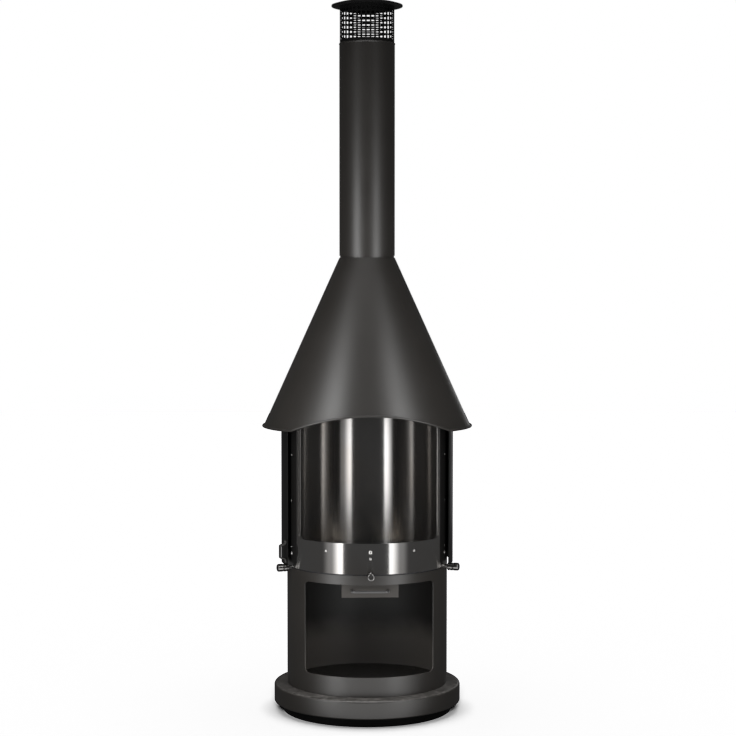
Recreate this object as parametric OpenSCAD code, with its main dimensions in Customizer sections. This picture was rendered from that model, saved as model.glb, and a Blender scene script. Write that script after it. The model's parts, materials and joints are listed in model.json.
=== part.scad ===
// Outdoor grill fireplace. A round wood store on a wide base carries a stainless fire chamber
// with a front window. A wind shield turns round the chamber on five grooved rollers. An arched
// cone hood gathers the smoke into a flue pipe with a spark screen and a rain cap.
// Millimetres, Z up. The front faces -Y. The origin is the centre of the footprint on the ground.
// Angles are counted from the front, positive towards +X.

/* [Base] */
// Height of the black plinth under the base pan
plinth_h = 33; // [20:1:60]
// How far the plinth stands back from the edge of the base pan
plinth_inset = 33.5; // [15:0.5:60]
// Width of the base pan's lower flange
pan_flange_w = 60; // [40:1:100]
// How far the base pan stands out from the wood store
pan_step = 47.5; // [30:0.5:80]
// Height of the base pan's wall up to the top of its shoulder
pan_h = 65; // [40:1:90]
// Rise of the base pan's sloping top from the shoulder to the wood store
pan_rise = 2; // [1:1:20]
// Radius of the base pan's shoulder
pan_shoulder_r = 12; // [6:1:20]
// Sheet thickness of the plinth and the base pan
base_sheet = 3; // [2:0.5:5]

/* [Wood store] */
// Outer diameter of the wood store
body_d = 579; // [500:1:700]
// Height of the wood store's wall
store_h = 429; // [400:1:520]
// Sheet thickness of the wood store
store_sheet = 3; // [2:0.5:4]
// Width of the wood store's opening, straight across
opening_w = 456; // [300:1:470]
// Height of the lip below the opening
opening_sill = 70; // [40:1:120]
// Height of the opening
opening_h = 326; // [220:1:340]
// Corner radius of the opening
opening_corner_r = 15; // [5:1:30]
// Thickness of the wood store's floor
floor_t = 3; // [2:0.5:6]

/* [Hearth] */
// Radial width of the bar ring that carries the hearth
ring_w = 18; // [14:1:24]
// Height of the bar ring
ring_h = 30; // [26:1:40]
// Width of the ledge welded into the wood store under the ring
ledge_w = 24; // [18:1:30]
// Thickness of that ledge
ledge_t = 6; // [3:0.5:8]
// Thickness of the hearth plate
plate_t = 3; // [2:0.5:6]
// Diameter of the ash hole in the hearth plate
ash_hole_d = 176; // [120:1:180]
// Diameter of the cast fire grate
grate_d = 220; // [190:1:280]
// Thickness of the fire grate
grate_t = 10; // [6:0.5:14]
// Width of the grate's slots
grate_slot_w = 9; // [6:0.5:12]
// Distance from one grate slot to the next
grate_slot_pitch = 17; // [15:0.5:24]

/* [Cooking grid] */
// Outer diameter of the cooking grid
grid_d = 436; // [320:1:500]
// Rod diameter of the cooking grid
rod_d = 5; // [4:0.5:7]
// Distance from one rod to the next
rod_pitch = 20; // [14:0.5:30]
// Width of the flat rim round the rods
grid_rim_w = 6; // [4:0.5:10]
// Height of the flat rim
grid_rim_h = 8; // [6:0.5:12]
// Free height of the grid's legs
leg_h = 11; // [10:0.5:16]

/* [Ash drawer] */
// Width of the drawer's front plate
drawer_w = 200; // [170:1:220]
// Height of the drawer's front plate
drawer_front_h = 47; // [35:1:60]
// Thickness of the drawer's front plate
drawer_front_t = 2; // [1.5:0.5:4]
// Depth of the drawer's box
drawer_depth = 330; // [250:1:360]
// Sheet thickness of the drawer's box and its rails
drawer_sheet = 1.5; // [1:0.5:2.5]
// Distance between the feet of the drawer's handle
pull_span = 128; // [96:1:140]
// Bar diameter of the drawer's handle
pull_bar_d = 9; // [7:0.5:12]
// How far the handle's bar stands off the front plate
pull_reach = 24; // [18:1:35]

/* [Fire chamber] */
// How far the fire chamber's shell stands proud of the wood store
shell_step = 0.5; // [0:0.5:3]
// Sheet thickness of the fire chamber's shell
shell_sheet = 2; // [1.5:0.5:3]
// Height of the shell
shell_h = 653; // [560:1:760]
// Seam between the wood store and the shell
seam_gap = 4; // [1:0.5:5]
// Height of the band below the window
band_h = 109; // [95:1:150]
// Width of the window, straight across
window_w = 502; // [400:1:510]
// Height of the ring above the window
crown_h = 36; // [25:1:60]
// Corner radius of the window
window_corner_r = 18; // [6:1:30]
// How far the frame behind the window's edge shows at the sides
frame_show = 7; // [3:0.5:12]
// How far that frame reaches behind the shell
frame_cover = 12; // [6:0.5:14]
// Thickness of the window's frame
frame_t = 2; // [1.5:0.5:3]
// Width of the posts inside the shell
post_w = 30; // [24:1:40]
// Thickness of the posts, the straps and the top brackets
post_t = 5; // [4:0.5:8]
// Thickness of the guard plate behind the band
liner_t = 2; // [1.5:0.5:3]
// Angle from the front to each end of the guard plate, in degrees
liner_angle = 45; // [40:1:55]

/* [Wind shield] */
// From the shell's outside to the shield's outside
shield_gap = 20.5; // [16:0.5:30]
// Sheet thickness of the shield
shield_sheet = 1.5; // [1:0.5:2]
// Height of the shield
shield_h = 581; // [500:1:600]
// Sweep of the shield round the back, in degrees
shield_sweep = 223; // [180:1:230]
// Height of the shield's handle
grip_h = 80; // [50:1:110]
// How far the handle stands off the shield
grip_reach = 23; // [20:1:32]
// Width of the handle's strip
grip_w = 16; // [12:1:24]
// Thickness of the handle's strip
grip_t = 4; // [3:0.5:6]

/* [Rollers] */
// Diameter of the rollers over their flanges
roller_d = 26; // [24:0.5:30]
// Width of the rollers
roller_w = 19; // [15:0.5:22]
// Diameter of the groove that the shield runs in
groove_d = 19; // [16:0.5:21]
// Width of that groove
groove_w = 4.5; // [4:0.5:8]
// From the rollers' inner face to the middle of the groove
groove_inset = 8; // [6:0.5:10]
// Diameter of the roller axles
axle_d = 8; // [6:0.5:10]
// Length of the turned heads of the axles
head_w = 21.5; // [14:0.5:28]
// Diameter of the spacers behind the rollers
spacer_d = 15; // [12:0.5:18]

/* [Hood] */
// How far the hood's edge stands out from the wood store
hood_overhang = 86; // [75:1:120]
// How far the hood's edge hangs below the top of the shell
hood_drop = 155; // [140:1:190]
// Height of the hood's cone
hood_h = 610; // [500:1:750]
// Sheet thickness of the hood
hood_sheet = 2; // [1.5:0.5:3]
// Width of the arch in the hood's front edge
arch_w = 558; // [450:1:600]
// Rise of the arch
arch_rise = 57; // [40:1:65]
// Height of the hem along the hood's edge
hem_h = 9; // [6:0.5:14]
// How far the hem stands proud of the cone
hem_t = 2.5; // [1.5:0.5:4]

/* [Flue] */
// Outer diameter of the flue pipe
flue_d = 200; // [150:1:250]
// Length of the flue pipe
flue_h = 769; // [600:1:1200]
// Sheet thickness of the flue pipe
flue_sheet = 1.5; // [1:0.5:3]
// Height of the collar that joins hood and pipe
collar_h = 90; // [60:1:140]
// How far the rolled edge at the pipe's top stands proud
bead_t = 1.3; // [0.5:0.1:3]
// Height of that rolled edge
bead_h = 5; // [3:0.5:10]

/* [Spark screen and cap] */
// Height of the spark screen above the pipe
screen_h = 131; // [125:1:200]
// Sheet thickness of the spark screen
screen_sheet = 1.5; // [1:0.5:2]
// How deep the screen sits in the pipe
screen_seat = 30; // [20:1:60]
// Width of the square holes
mesh_hole = 10.5; // [6:0.5:11]
// Height from one row of holes to the next
mesh_row_pitch = 16.4; // [14:0.1:17]
// Rows of holes
mesh_rows = 7; // [3:1:7]
// Columns of holes round the screen
mesh_columns = 37; // [24:1:40]
// How far the rain cap stands out from the pipe
cap_overhang = 28; // [15:1:50]
// Rise of the rain cap's dome
cap_rise = 20; // [12:1:40]
// Sheet thickness of the rain cap and of its base plate
cap_sheet = 2; // [1:0.5:3]
// Height of the rain cap's edge
cap_edge_h = 5; // [4:0.5:10]

/* [Hidden] */
$fn = 96;

// Clearances, and the overrun of every cut
fit = 0.3;
run_fit = 0.05;
over = 5;

// Radii of the round walls
store_r = body_d / 2;
store_in_r = store_r - store_sheet;
pan_r = store_r + pan_step;
plinth_r = pan_r - plinth_inset;
shell_r = store_r + shell_step;
shell_in_r = shell_r - shell_sheet;
shield_r = shell_r + shield_gap;
shield_in_r = shield_r - shield_sheet;
ring_r = min(store_in_r, shell_in_r) - fit;
ring_in_r = ring_r - ring_w;
post_r = shell_in_r - fit;
post_in_r = post_r - post_t;
liner_in_r = post_in_r - fit - liner_t;
rim_r = store_r + hood_overhang;
flue_r = flue_d / 2;
flue_in_r = flue_r - flue_sheet;

// Heights
z_pan_top = plinth_h + pan_h + pan_rise;
z_store_top = z_pan_top + store_h;
z_opening = z_pan_top + opening_sill;
z_opening_top = z_opening + opening_h;
z_shell = z_store_top + seam_gap;
z_shell_top = z_shell + shell_h;
z_window = z_shell + band_h;
window_h = shell_h - band_h - crown_h;
z_axle = z_store_top + seam_gap / 2;
z_ring = z_axle - ring_h / 2;
z_plate = z_ring + ring_h;
z_hearth = z_plate + plate_t;
z_shield = z_axle + groove_d / 2 + fit;
z_rim = z_shell_top - hood_drop;
z_hood_top = z_rim + hood_h;
z_flue_top = z_hood_top + flue_h;
z_cap = z_flue_top + screen_h;

// Rollers stand at five equal angles round the shell
roller_angle = 72;
roller_mid_r = shield_r - shield_sheet / 2;
roller_from = roller_mid_r - groove_inset;
head_from = roller_from + roller_w + fit;
axle_r = axle_d / 2;
bore_r = axle_r + run_fit;
roller_edge_r = 2;
head_neck = 3;
head_round = 5;
socket_d = 9;
socket_depth = 5;

// The hood's slope, as run per rise, and the width of its sheet measured level
slope = (rim_r - flue_r) / hood_h;
level_sheet = hood_sheet * sqrt(1 + slope * slope);
function hood_out_r(z) = rim_r - (z - z_rim) * slope;
function hood_in_r(z) = hood_out_r(z) - level_sheet;
collar_r = min(flue_in_r, hood_in_r(z_hood_top)) - fit;
// The arch is a level cylinder whose radius follows from the arch's width and rise
arch_r = (pow(arch_w / 2, 2) + arch_rise * arch_rise) / (2 * arch_rise);
z_arch = z_rim + arch_rise - arch_r;

// Screws and bolts
screw_r = 2.5;
screw_head_r = 5;
screw_head_h = 3;
bolt_r = 4;
bolt_head_r = 8;
bolt_head_h = 5;
bolt_nut_h = 6;
screw_nut_r = 5.5;
screw_nut_h = 4;
nut_end = 1;
strip_rise = 73;
strip_pitch = 165;
strip_count = 4;
dome_side_rise = 49;
dome_front_rise = 78;
screw_front_rise = 55;
band_screw_angle = 32.5;
band_screw_rise = 78;

// Radius where a nut's face seats, just inside a curved wall
function nut_seat(wall_r) = wall_r - fit;
// Turns the width of a strip on a round wall into half of its sweep
function half_sweep(w, r) = asin(w / 2 / r);

// Base fixings
base_bolt_count = 4;
base_bolt_inset = 30;
base_bolt_r = store_in_r - base_bolt_inset;
pan_top_land = 50;

// Ash drawer and its rails
drawer_half = drawer_w / 2;
drawer_side_gap = 6;
drawer_top_gap = 3;
z_drawer_front = z_opening_top - drawer_top_gap - drawer_front_h;
drawer_lift = 3;
z_drawer = z_drawer_front + drawer_lift;
drawer_box_h = drawer_front_h - 2 * drawer_lift;
y_drawer_front = -sqrt(pow(ring_in_r, 2) - pow(drawer_half, 2)) + drawer_sheet;
y_drawer = y_drawer_front + drawer_front_t;
box_half = drawer_half - drawer_side_gap;
rail_gap = 1;
rail_half = box_half + rail_gap;
rail_lip_w = 15;
rail_flange_w = 14;
rail_setback = 10;
rail_length = drawer_depth - rail_setback + fit + drawer_sheet;
y_rail = y_drawer + rail_setback;
chute_half = rail_half - rail_gap;
chute_gap = 2;
pull_foot_r = 7;
pull_foot_t = 2;
pull_bore_depth = 14;
pull_screw_depth = 11;

// Guide pads at the shield's top
pad_w = 16;
pad_h = 22;
pad_out_r = shield_in_r - 2 * fit;
z_pad = z_shell + strip_rise + (strip_count - 1) * strip_pitch;

// Top brackets and the hood's ring
bracket_h = 70;
tab_reach = 24;
tab_bolt_r = post_in_r - tab_reach / 2;
hood_ring_t = 3;
hood_ring_rise = 26;

// Shield handle
grip_angle = -72;
grip_rise = 8;
grip_foot = 13;
grip_head_r = 4.5;
grip_head_h = 2;
z_grip = z_shield + grip_rise;
function grip_screw_heights() = [z_grip + grip_foot / 2, z_grip + grip_h - grip_foot / 2];

// Spark screen
screen_r = flue_in_r - fit;
screen_in_r = screen_r - screen_sheet;
screen_flange_w = 16;
mesh_top_margin = 16;
cap_screw_r = screen_in_r - screen_flange_w / 2;
cap_r = flue_r + cap_overhang;

paint = [0.23, 0.225, 0.21];
black_paint = [0.07, 0.07, 0.07];
stainless = [0.72, 0.72, 0.73];
cast = [0.2, 0.2, 0.2];
dark_steel = [0.33, 0.33, 0.34];

// A ring wall from one radius to another
module ring(r_in, r_out, h) {
    difference() {
        cylinder(h = h, r = r_out);
        translate([0, 0, -over]) cylinder(h = h + 2 * over, r = r_in);
    }
}

// A stretch of ring wall between two angles from the front
module arc_wall(r_in, r_out, h, from, to) {
    rotate([0, 0, from - 90])
        rotate_extrude(angle = to - from)
            translate([r_in, 0]) square([r_out - r_in, h]);
}

// Puts its children on a spoke: local Z runs outwards from the axis, at an angle and a height
module spoke(angle, z) {
    rotate([0, 0, angle]) translate([0, 0, z]) rotate([90, 0, 0]) children();
}

// A rectangle with rounded corners, its foot's middle at the origin
module soft_rect(w, h, r) {
    translate([-w / 2 + r, 0]) square([w - 2 * r, h]);
    translate([-w / 2, r]) square([w, h - 2 * r]);
    for (x = [-w / 2 + r, w / 2 - r])
        for (y = [r, h - r])
            translate([x, y]) circle(r = r);
}

// A front cut through a round wall, a rounded rectangle seen from the front
module front_cut(w, h, r, z, wall_r) {
    translate([0, 0, z]) rotate([90, 0, 0])
        linear_extrude(wall_r + over) soft_rect(w, h, r);
}

// A domed screw or bolt head, its flat side at the origin
module dome_head(r, h) {
    ball_r = (r * r + h * h) / (2 * h);
    intersection() {
        translate([0, 0, h - ball_r]) sphere(r = ball_r);
        cylinder(h = h + over, r = r);
    }
}

// A screw on a spoke, with its head seated at seat_r and its end at end_r
module spoke_screw(angle, z, seat_r, end_r, r, head_r, head_h) {
    spoke(angle, z) {
        translate([0, 0, end_r]) cylinder(h = seat_r - end_r, r = r);
        translate([0, 0, seat_r]) dome_head(head_r, head_h);
    }
}

// A bore on a spoke, from one radius to another
module spoke_bore(angle, z, from, to, r) {
    spoke(angle, z) translate([0, 0, from - over]) cylinder(h = to - from + 2 * over, r = r);
}

function side_angles() = [-roller_angle, roller_angle];
function rear_angles() = [-2 * roller_angle, 2 * roller_angle];
function roller_angles() = [for (i = [0:4]) i * roller_angle];
function strip_heights() = [for (i = [0:strip_count - 1]) z_shell + strip_rise + i * strip_pitch];

// The screw holes that the shell shares with the parts behind it
module side_bores(from, to) {
    for (a = side_angles()) {
        for (z = strip_heights()) spoke_bore(a, z, from, to, screw_r + run_fit);
        spoke_bore(a, z_shell + dome_side_rise, from, to, bolt_r + run_fit);
    }
}

module front_bores(from, to) {
    spoke_bore(0, z_shell + dome_front_rise, from, to, bolt_r + run_fit);
    spoke_bore(0, z_shell + screw_front_rise, from, to, screw_r + run_fit);
}

module band_bores(from, to) {
    for (a = [-band_screw_angle, band_screw_angle])
        spoke_bore(a, z_shell + band_screw_rise, from, to, screw_r + run_fit);
}

module rear_bores(from, to) {
    for (a = rear_angles()) spoke_bore(a, z_pad, from, to, screw_r + run_fit);
}

module axle_bores(from, to, r) {
    for (a = roller_angles()) spoke_bore(a, z_axle, from, to, r);
}

// Base

module plinth() {
    color(black_paint) ring(plinth_r - base_sheet, plinth_r, plinth_h);
}

// The plate that the whole object stands on, inside the plinth
module bottom_plate() {
    color(black_paint) cylinder(h = base_sheet, r = plinth_r - base_sheet - fit);
}

module base_pan() {
    r = pan_shoulder_r;
    z0 = plinth_h;
    z1 = plinth_h + pan_h;
    in_r = pan_r - base_sheet;
    land_r = store_r - pan_top_land;
    color(paint) difference() {
        rotate_extrude() polygon(concat(
            [[plinth_r - pan_flange_w, z0], [pan_r, z0]],
            [for (a = [0:15:90]) [pan_r - r + r * cos(a), z1 - r + r * sin(a)]],
            [[store_r, z_pan_top], [land_r, z_pan_top], [land_r, z_pan_top - base_sheet],
             [store_r, z_pan_top - base_sheet]],
            [for (a = [90:-15:0])
                [pan_r - r + (r - base_sheet) * cos(a), z1 - r + (r - base_sheet) * sin(a)]],
            [[in_r, z0 + base_sheet], [plinth_r - pan_flange_w, z0 + base_sheet]]
        ));
        for (i = [0:base_bolt_count - 1])
            rotate([0, 0, 45 + i * 90]) translate([0, -base_bolt_r, z_pan_top - base_sheet - over])
                cylinder(h = base_sheet + 2 * over, r = bolt_r + run_fit);
    }
}

// Each bolt comes from below, through the base pan's top, into the wood store's floor
module base_bolts() {
    color(dark_steel)
        for (i = [0:base_bolt_count - 1])
            rotate([0, 0, 45 + i * 90]) translate([0, -base_bolt_r, z_pan_top - base_sheet]) {
                translate([0, 0, -bolt_head_h]) cylinder(h = bolt_head_h, r = bolt_head_r, $fn = 6);
                cylinder(h = base_sheet + floor_t, r = bolt_r);
            }
}

// Wood store

module store_floor() {
    color(paint) difference() {
        translate([0, 0, z_pan_top]) cylinder(h = floor_t, r = store_in_r - fit);
        for (i = [0:base_bolt_count - 1])
            rotate([0, 0, 45 + i * 90]) translate([0, -base_bolt_r, z_pan_top - over])
                cylinder(h = floor_t + 2 * over, r = bolt_r + run_fit);
    }
}

module wood_store() {
    color(paint) difference() {
        union() {
            translate([0, 0, z_pan_top]) ring(store_in_r, store_r, store_h);
            translate([0, 0, z_ring - ledge_t])
                ring(store_in_r - ledge_w, store_in_r + store_sheet / 2, ledge_t);
        }
        front_cut(opening_w, opening_h, opening_corner_r, z_opening, store_r);
        axle_bores(store_in_r, store_r, axle_r + fit);
    }
}

// Hearth

module hearth_ring() {
    color(dark_steel) difference() {
        translate([0, 0, z_ring]) ring(ring_in_r, ring_r, ring_h);
        axle_bores(ring_in_r, ring_r, bore_r);
    }
}

module hearth_plate() {
    color(dark_steel) translate([0, 0, z_plate]) ring(ash_hole_d / 2, post_r, plate_t);
}

module ash_chute() {
    h = z_plate - (z_drawer + drawer_box_h + chute_gap);
    color(dark_steel) translate([0, 0, z_plate - h]) difference() {
        translate([-chute_half, -chute_half, 0]) cube([2 * chute_half, 2 * chute_half, h]);
        translate([-chute_half + drawer_sheet, -chute_half + drawer_sheet, -over])
            cube([2 * (chute_half - drawer_sheet), 2 * (chute_half - drawer_sheet), h + 2 * over]);
    }
}

module fire_grate() {
    edge = (grate_d - ash_hole_d) / 2;
    slot_r = ash_hole_d / 2 - edge / 2;
    half_count = floor((slot_r - grate_slot_w) / grate_slot_pitch);
    color(cast) translate([0, 0, z_hearth]) difference() {
        cylinder(h = grate_t, r = grate_d / 2);
        intersection() {
            translate([0, 0, -over]) cylinder(h = grate_t + 2 * over, r = slot_r);
            for (i = [-half_count:half_count])
                translate([i * grate_slot_pitch - grate_slot_w / 2, -slot_r, -over])
                    cube([grate_slot_w, 2 * slot_r, grate_t + 2 * over]);
        }
    }
}

module cooking_grid() {
    rim_out = grid_d / 2;
    rim_in = rim_out - grid_rim_w;
    z_rod = z_hearth + leg_h + grid_rim_h / 2;
    half_count = floor((rim_in - rod_d) / rod_pitch);
    seat = grid_rim_w / 2;
    color(stainless) {
        translate([0, 0, z_hearth + leg_h]) ring(rim_in, rim_out, grid_rim_h);
        for (i = [-half_count:half_count]) {
            x = i * rod_pitch;
            reach = sqrt(pow(rim_in + seat, 2) - x * x);
            translate([x, reach, z_rod]) rotate([90, 0, 0]) cylinder(h = 2 * reach, r = rod_d / 2);
        }
        for (a = [45:90:315])
            rotate([0, 0, a]) translate([0, -rim_out + seat, z_hearth + fit])
                cylinder(h = leg_h - fit + grid_rim_h / 2, r = seat - fit);
    }
}

// Ash drawer

module drawer_rail() {
    z_lip = z_drawer - fit - drawer_sheet;
    color(dark_steel) {
        translate([rail_half, y_rail, z_lip]) cube([drawer_sheet, rail_length, z_plate - z_lip]);
        translate([rail_half - rail_lip_w, y_rail, z_lip])
            cube([rail_lip_w, rail_length, drawer_sheet]);
        translate([rail_half + drawer_sheet, y_rail, z_plate - drawer_sheet])
            cube([rail_flange_w, rail_length, drawer_sheet]);
        translate([rail_half - rail_lip_w, y_rail + rail_length - drawer_sheet, z_lip + drawer_sheet])
            cube([rail_lip_w, drawer_sheet, drawer_box_h]);
    }
}

module drawer_rails() {
    drawer_rail();
    mirror([1, 0, 0]) drawer_rail();
}

module ash_drawer() {
    color(dark_steel) translate([-box_half, y_drawer, z_drawer])
        cube([2 * box_half, drawer_depth, drawer_sheet]);
}
module drawer_sides() {
    for (x = [-box_half, box_half - drawer_sheet])
        color(dark_steel) translate([x, y_drawer, z_drawer + drawer_sheet])
            cube([drawer_sheet, drawer_depth, drawer_box_h - drawer_sheet]);
}
module drawer_ends() {
    t = drawer_sheet;
    for (y = [y_drawer, y_drawer + drawer_depth - t])
        color(dark_steel) difference() {
            translate([t - box_half, y, z_drawer + t]) cube([2 * (box_half - t), t, drawer_box_h - t]);
            for (x = [-pull_span / 2, pull_span / 2])
                translate([x, y_drawer + t + over, z_drawer + drawer_box_h / 2]) rotate([90, 0, 0])
                    cylinder(h = t + 2 * over, r = screw_r + run_fit);
        }
}

module drawer_front() {
    color(paint) difference() {
        translate([-drawer_half, y_drawer_front, z_drawer_front])
            cube([drawer_w, drawer_front_t, drawer_front_h]);
        for (x = [-pull_span / 2, pull_span / 2])
            translate([x, y_drawer_front + drawer_front_t + over, z_drawer_front + drawer_front_h / 2])
                rotate([90, 0, 0]) cylinder(h = drawer_front_t + 2 * over, r = screw_r + run_fit);
    }
}

// A bow handle: a level bar with rounded ends that turn back into two feet
module drawer_handle() {
    r = pull_bar_d / 2;
    color(black_paint) translate([0, y_drawer_front, z_drawer_front + drawer_front_h / 2]) {
        difference() {
            union() {
                for (s = [-1, 1]) translate([s * pull_span / 2, 0, 0]) rotate([90, 0, 0]) {
                    cylinder(h = pull_reach, r = r);
                    cylinder(h = pull_foot_t, r = pull_foot_r);
                    translate([0, 0, pull_reach]) sphere(r = r);
                }
                translate([-pull_span / 2, -pull_reach, 0]) rotate([0, 90, 0])
                    cylinder(h = pull_span, r = r);
            }
            for (s = [-1, 1]) translate([s * pull_span / 2, over, 0]) rotate([90, 0, 0])
                cylinder(h = pull_bore_depth + over, r = screw_r + run_fit);
        }
    }
}

// Screws from inside the drawer into the handle's feet
module drawer_handle_screws() {
    y = y_drawer + drawer_sheet;
    color(stainless)
        for (x = [-pull_span / 2, pull_span / 2])
            translate([x, y, z_drawer_front + drawer_front_h / 2]) {
                rotate([90, 0, 0]) cylinder(h = y - y_drawer_front + pull_screw_depth, r = screw_r);
                rotate([-90, 0, 0]) dome_head(screw_head_r, screw_head_h);
            }
}

// Fire chamber

module firebox_shell() {
    color(stainless) difference() {
        translate([0, 0, z_shell]) ring(shell_in_r, shell_r, shell_h);
        front_cut(window_w, window_h, window_corner_r, z_window, shell_r);
        side_bores(shell_in_r, shell_r);
        front_bores(shell_in_r, shell_r);
        band_bores(shell_in_r, shell_r);
        rear_bores(shell_in_r, shell_r);
        axle_bores(shell_in_r, shell_r, axle_r + fit);
    }
}

// A curved border behind the window's edge, flush with it at the bottom
module window_frame() {
    r = shell_in_r - fit;
    h = window_h + frame_cover;
    color(stainless) difference() {
        intersection() {
            translate([0, 0, z_window - frame_cover]) ring(r - frame_t, r, h + frame_cover);
            front_cut(window_w + 2 * frame_cover, h + frame_cover, window_corner_r,
                z_window - frame_cover, r);
        }
        front_cut(window_w - 2 * frame_show, window_h, window_corner_r, z_window, r);
    }
}

module front_strap() {
    h = half_sweep(post_w, post_r);
    color(dark_steel) difference() {
        translate([0, 0, z_hearth])
            arc_wall(post_in_r, post_r, z_window - frame_cover - fit - z_hearth, -h, h);
        front_bores(post_in_r, post_r);
    }
}

// A curved post behind the shell, whose top is bent inwards into a tab
module tabbed_post(angle, z_foot) {
    h = half_sweep(post_w, post_r);
    rotate([0, 0, angle - h - 90]) rotate_extrude(angle = 2 * h) polygon([
        [post_in_r, z_foot], [post_r, z_foot], [post_r, z_shell_top],
        [post_in_r - tab_reach, z_shell_top], [post_in_r - tab_reach, z_shell_top - post_t],
        [post_in_r, z_shell_top - post_t]
    ]);
}

module tab_bore(angle) {
    rotate([0, 0, angle]) translate([0, -tab_bolt_r, z_shell_top - post_t - over])
        cylinder(h = post_t + hood_ring_t + 2 * over, r = bolt_r + run_fit);
}

// These posts stand on the hearth plate, and their tabs carry the hood's ring
module support_posts() {
    color(dark_steel) difference() {
        for (a = side_angles()) tabbed_post(a, z_hearth);
        side_bores(post_in_r, post_r);
        for (a = side_angles()) tab_bore(a);
    }
}

module top_brackets() {
    color(dark_steel) difference() {
        for (a = rear_angles()) tabbed_post(a, min(z_pad - pad_h, z_shell_top - bracket_h));
        rear_bores(post_in_r, post_r);
        for (a = rear_angles()) tab_bore(a);
    }
}

// A curved guard plate keeps the embers off the band
module band_liner() {
    r = post_in_r - fit;
    color(dark_steel) difference() {
        translate([0, 0, z_hearth])
            arc_wall(r - liner_t, r, z_window - frame_cover - z_hearth, -liner_angle, liner_angle);
        band_bores(r - liner_t, r);
        front_bores(r - liner_t, r);
    }
}

module liner_spacers() {
    color(dark_steel)
        for (a = [-band_screw_angle, band_screw_angle])
            spoke(a, z_shell + band_screw_rise) translate([0, 0, post_in_r])
                ring(screw_r + run_fit, screw_head_r, post_t);
}

module band_screws() {
    end_r = nut_seat(liner_in_r) - screw_nut_h - nut_end;
    color(stainless) {
        for (a = [-band_screw_angle, band_screw_angle])
            spoke_screw(a, z_shell + band_screw_rise, shell_r, end_r, screw_r, screw_head_r, screw_head_h);
        spoke_screw(0, z_shell + screw_front_rise, shell_r, end_r, screw_r, screw_head_r, screw_head_h);
    }
}

// The top screw of each strip also holds a guide pad, so its head sits further out
module strip_screws() {
    color(stainless)
        for (a = side_angles())
            for (i = [0:strip_count - 2])
                spoke_screw(a, strip_heights()[i], shell_r, post_in_r, screw_r, screw_head_r, screw_head_h);
}

module dome_bolts() {
    side_end = nut_seat(post_in_r) - bolt_nut_h - nut_end;
    front_end = nut_seat(liner_in_r) - bolt_nut_h - nut_end;
    color(stainless) {
        for (a = side_angles())
            spoke_screw(a, z_shell + dome_side_rise, shell_r, side_end, bolt_r, bolt_head_r, bolt_head_h);
        spoke_screw(0, z_shell + dome_front_rise, shell_r, front_end, bolt_r, bolt_head_r, bolt_head_h);
    }
}

// A hexagon nut with its outer face at the origin, its body below
module nut(r, bolt, h) {
    translate([0, 0, -h]) difference() {
        cylinder(h = h, r = r, $fn = 6);
        translate([0, 0, -over]) cylinder(h = h + 2 * over, r = bolt + run_fit);
    }
}

module bolt_nuts() {
    color(stainless) {
        for (a = side_angles())
            spoke(a, z_shell + dome_side_rise) translate([0, 0, nut_seat(post_in_r)])
                nut(bolt_head_r, bolt_r, bolt_nut_h);
        spoke(0, z_shell + dome_front_rise) translate([0, 0, nut_seat(liner_in_r)])
            nut(bolt_head_r, bolt_r, bolt_nut_h);
        for (a = concat(side_angles(), rear_angles()))
            rotate([0, 0, a]) translate([0, -tab_bolt_r, z_shell_top - post_t])
                nut(bolt_head_r, bolt_r, bolt_nut_h);
    }
}

module screw_nuts() {
    color(stainless) {
        for (a = [-band_screw_angle, band_screw_angle])
            spoke(a, z_shell + band_screw_rise) translate([0, 0, nut_seat(liner_in_r)])
                nut(screw_nut_r, screw_r, screw_nut_h);
        spoke(0, z_shell + screw_front_rise) translate([0, 0, nut_seat(liner_in_r)])
            nut(screw_nut_r, screw_r, screw_nut_h);
    }
}

// Pads on the shell that keep the shield's top upright
module guide_pads() {
    color(cast)
        for (a = concat(side_angles(), rear_angles())) difference() {
            rotate([0, 0, a]) translate([-pad_w / 2, -pad_out_r, z_pad - pad_h / 2])
                cube([pad_w, pad_out_r - shell_r - fit, pad_h]);
            spoke_bore(a, z_pad, shell_r, shield_in_r, screw_r + run_fit);
            spoke(a, z_pad) translate([0, 0, pad_out_r - screw_head_h])
                cylinder(h = screw_head_h + over, r = screw_head_r + fit);
        }
}

module pad_screws() {
    seat = pad_out_r - screw_head_h;
    color(stainless)
        for (a = concat(side_angles(), rear_angles())) spoke(a, z_pad) {
            translate([0, 0, post_in_r]) cylinder(h = seat - post_in_r, r = screw_r);
            translate([0, 0, seat]) cylinder(h = screw_head_h - fit, r = screw_head_r);
        }
}

// Rollers

module roller_axles() {
    head_r = roller_d / 2;
    end_r = head_from + head_w;
    color(stainless)
        for (a = roller_angles()) spoke(a, z_axle) difference() {
            union() {
                translate([0, 0, ring_in_r]) cylinder(h = head_from - ring_in_r, r = axle_r);
                rotate_extrude() polygon(concat(
                    [[0, head_from], [head_r - head_neck, head_from], [head_r, head_from + head_neck]],
                    [for (t = [0:15:90]) [head_r - head_round + head_round * cos(t),
                        end_r - head_round + head_round * sin(t)]],
                    [[0, end_r]]
                ));
            }
            translate([0, 0, end_r - socket_depth]) cylinder(h = socket_depth + over, r = socket_d / 2);
        }
}

module axle_spacers() {
    color(stainless)
        for (a = roller_angles()) spoke(a, z_axle) translate([0, 0, shell_r + fit])
            ring(bore_r, spacer_d / 2, roller_from - fit - shell_r - fit);
}

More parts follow.
